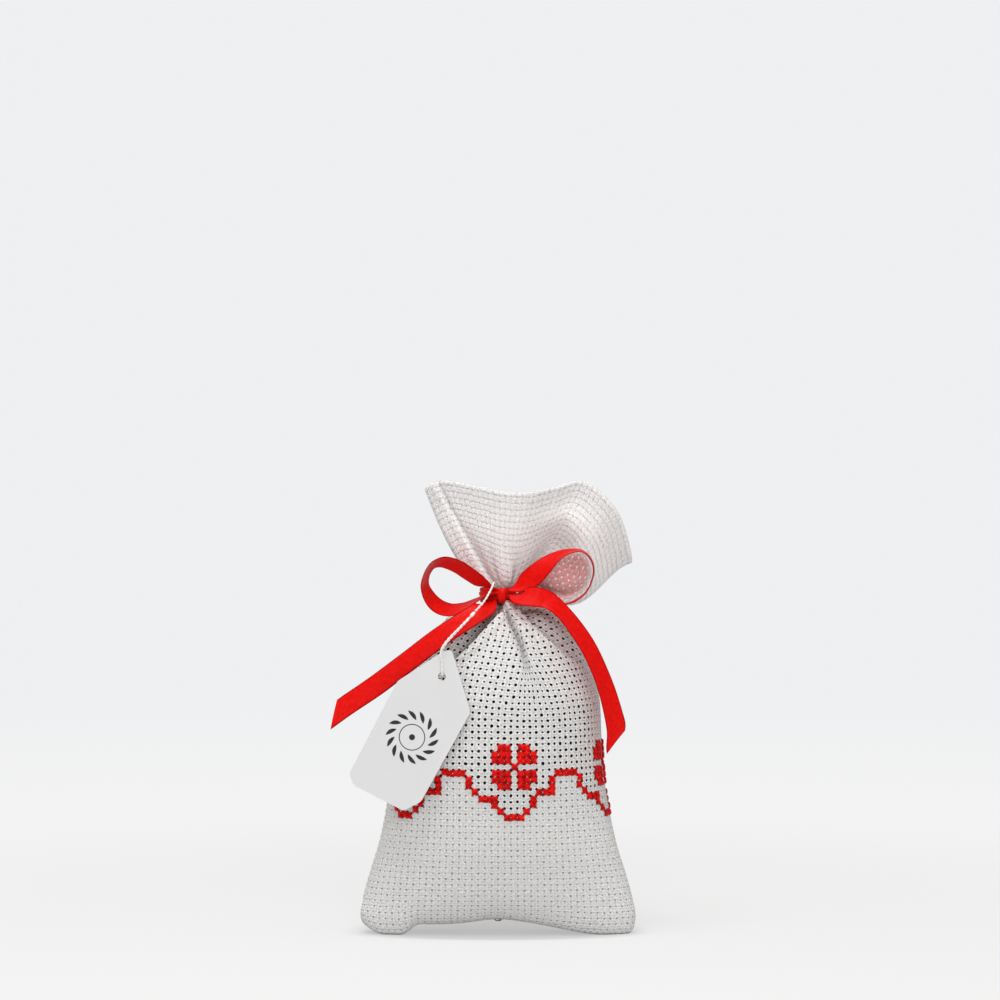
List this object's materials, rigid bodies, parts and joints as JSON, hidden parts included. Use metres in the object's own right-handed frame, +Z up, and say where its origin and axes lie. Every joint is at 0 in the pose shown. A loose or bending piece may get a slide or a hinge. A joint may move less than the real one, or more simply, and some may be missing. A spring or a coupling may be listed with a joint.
{
  "type": "lavender sachet",
  "caption": "Standing lavender sachet of pale cross-stitch cloth with a red embroidered border, a red satin bow at its gathered neck and a blank card tag on a string",
  "frame": {"origin": "On the ground, below the middle of the bag, measured without the ribbon's loops and tails, the string and the tag on it.", "axes": "+Z is up from the feet to the mouth, -Y is the front with the bow and the tag, +X is the viewer's right."},
  "size_m": [0.0864, 0.0453, 0.1288],
  "materials": {
    "cloth": "matt even-weave cotton",
    "muslin": "matt thin cotton",
    "lavender": "loose dried buds",
    "thread": "matt cotton thread",
    "embroidery_thread": "soft stranded cotton",
    "ribbon": "satin",
    "card": "smooth matt card",
    "string": "twisted cotton string"
  },
  "bodies": {
    "bag": {"bag_body": "cloth", "bag_frill": "cloth", "inner_pouch": "muslin", "lavender_filling": "lavender", "side_seam": "thread", "bottom_seam": "thread", "embroidered_vine": "embroidery_thread", "embroidered_flower_1": "embroidery_thread", "embroidered_flower_2": "embroidery_thread", "embroidered_flower_3": "embroidery_thread", "embroidered_flower_4": "embroidery_thread", "embroidered_flower_5": "embroidery_thread", "ribbon_neck_wrap": "ribbon", "ribbon_knot": "ribbon", "string_hanger": "string"},
    "left_loop": {"ribbon_left_loop": "ribbon"},
    "right_loop": {"ribbon_right_loop": "ribbon"},
    "left_tail": {"ribbon_left_tail": "ribbon"},
    "right_tail": {"ribbon_right_tail": "ribbon"},
    "string": {"tag_string": "string", "string_knot": "string"},
    "tag": {"tag_card": "card"}
  },
  "joints": [
    {"name": "left_loop_flex", "type": "hinge", "parent": "bag", "child": "left_loop", "pos_m": [-0.00065, -0.007, 0.0977], "axis": [0, 1, 0], "range_deg": [-4, 8], "stiffness_Nm_per_rad": 0.002},
    {"name": "right_loop_flex", "type": "hinge", "parent": "bag", "child": "right_loop", "pos_m": [0.00315, -0.007, 0.0967], "axis": [0, -1, 0], "range_deg": [-4, 8], "stiffness_Nm_per_rad": 0.002},
    {"name": "left_tail_lift", "type": "hinge", "parent": "bag", "child": "left_tail", "pos_m": [-0.00065, -0.0075, 0.0951], "axis": [0, 1, 0], "range_deg": [-2, 10], "stiffness_Nm_per_rad": 0.002},
    {"name": "right_tail_lift", "type": "hinge", "parent": "bag", "child": "right_tail", "pos_m": [0.0032, -0.0075, 0.0966], "axis": [0, -1, 0], "range_deg": [-2, 10], "stiffness_Nm_per_rad": 0.002},
    {"name": "string_swing", "type": "hinge", "parent": "bag", "child": "string", "pos_m": [-0.0071, -0.0189, 0.0916], "axis": [-0.1392, -0.9903, 0], "range_deg": [-12, 26]},
    {"name": "tag_turn", "type": "hinge", "parent": "string", "child": "tag", "pos_m": [-0.0156, -0.0211, 0.0744], "axis": [-0.1392, -0.9903, 0], "range_deg": [-20, 20]}
  ]
}
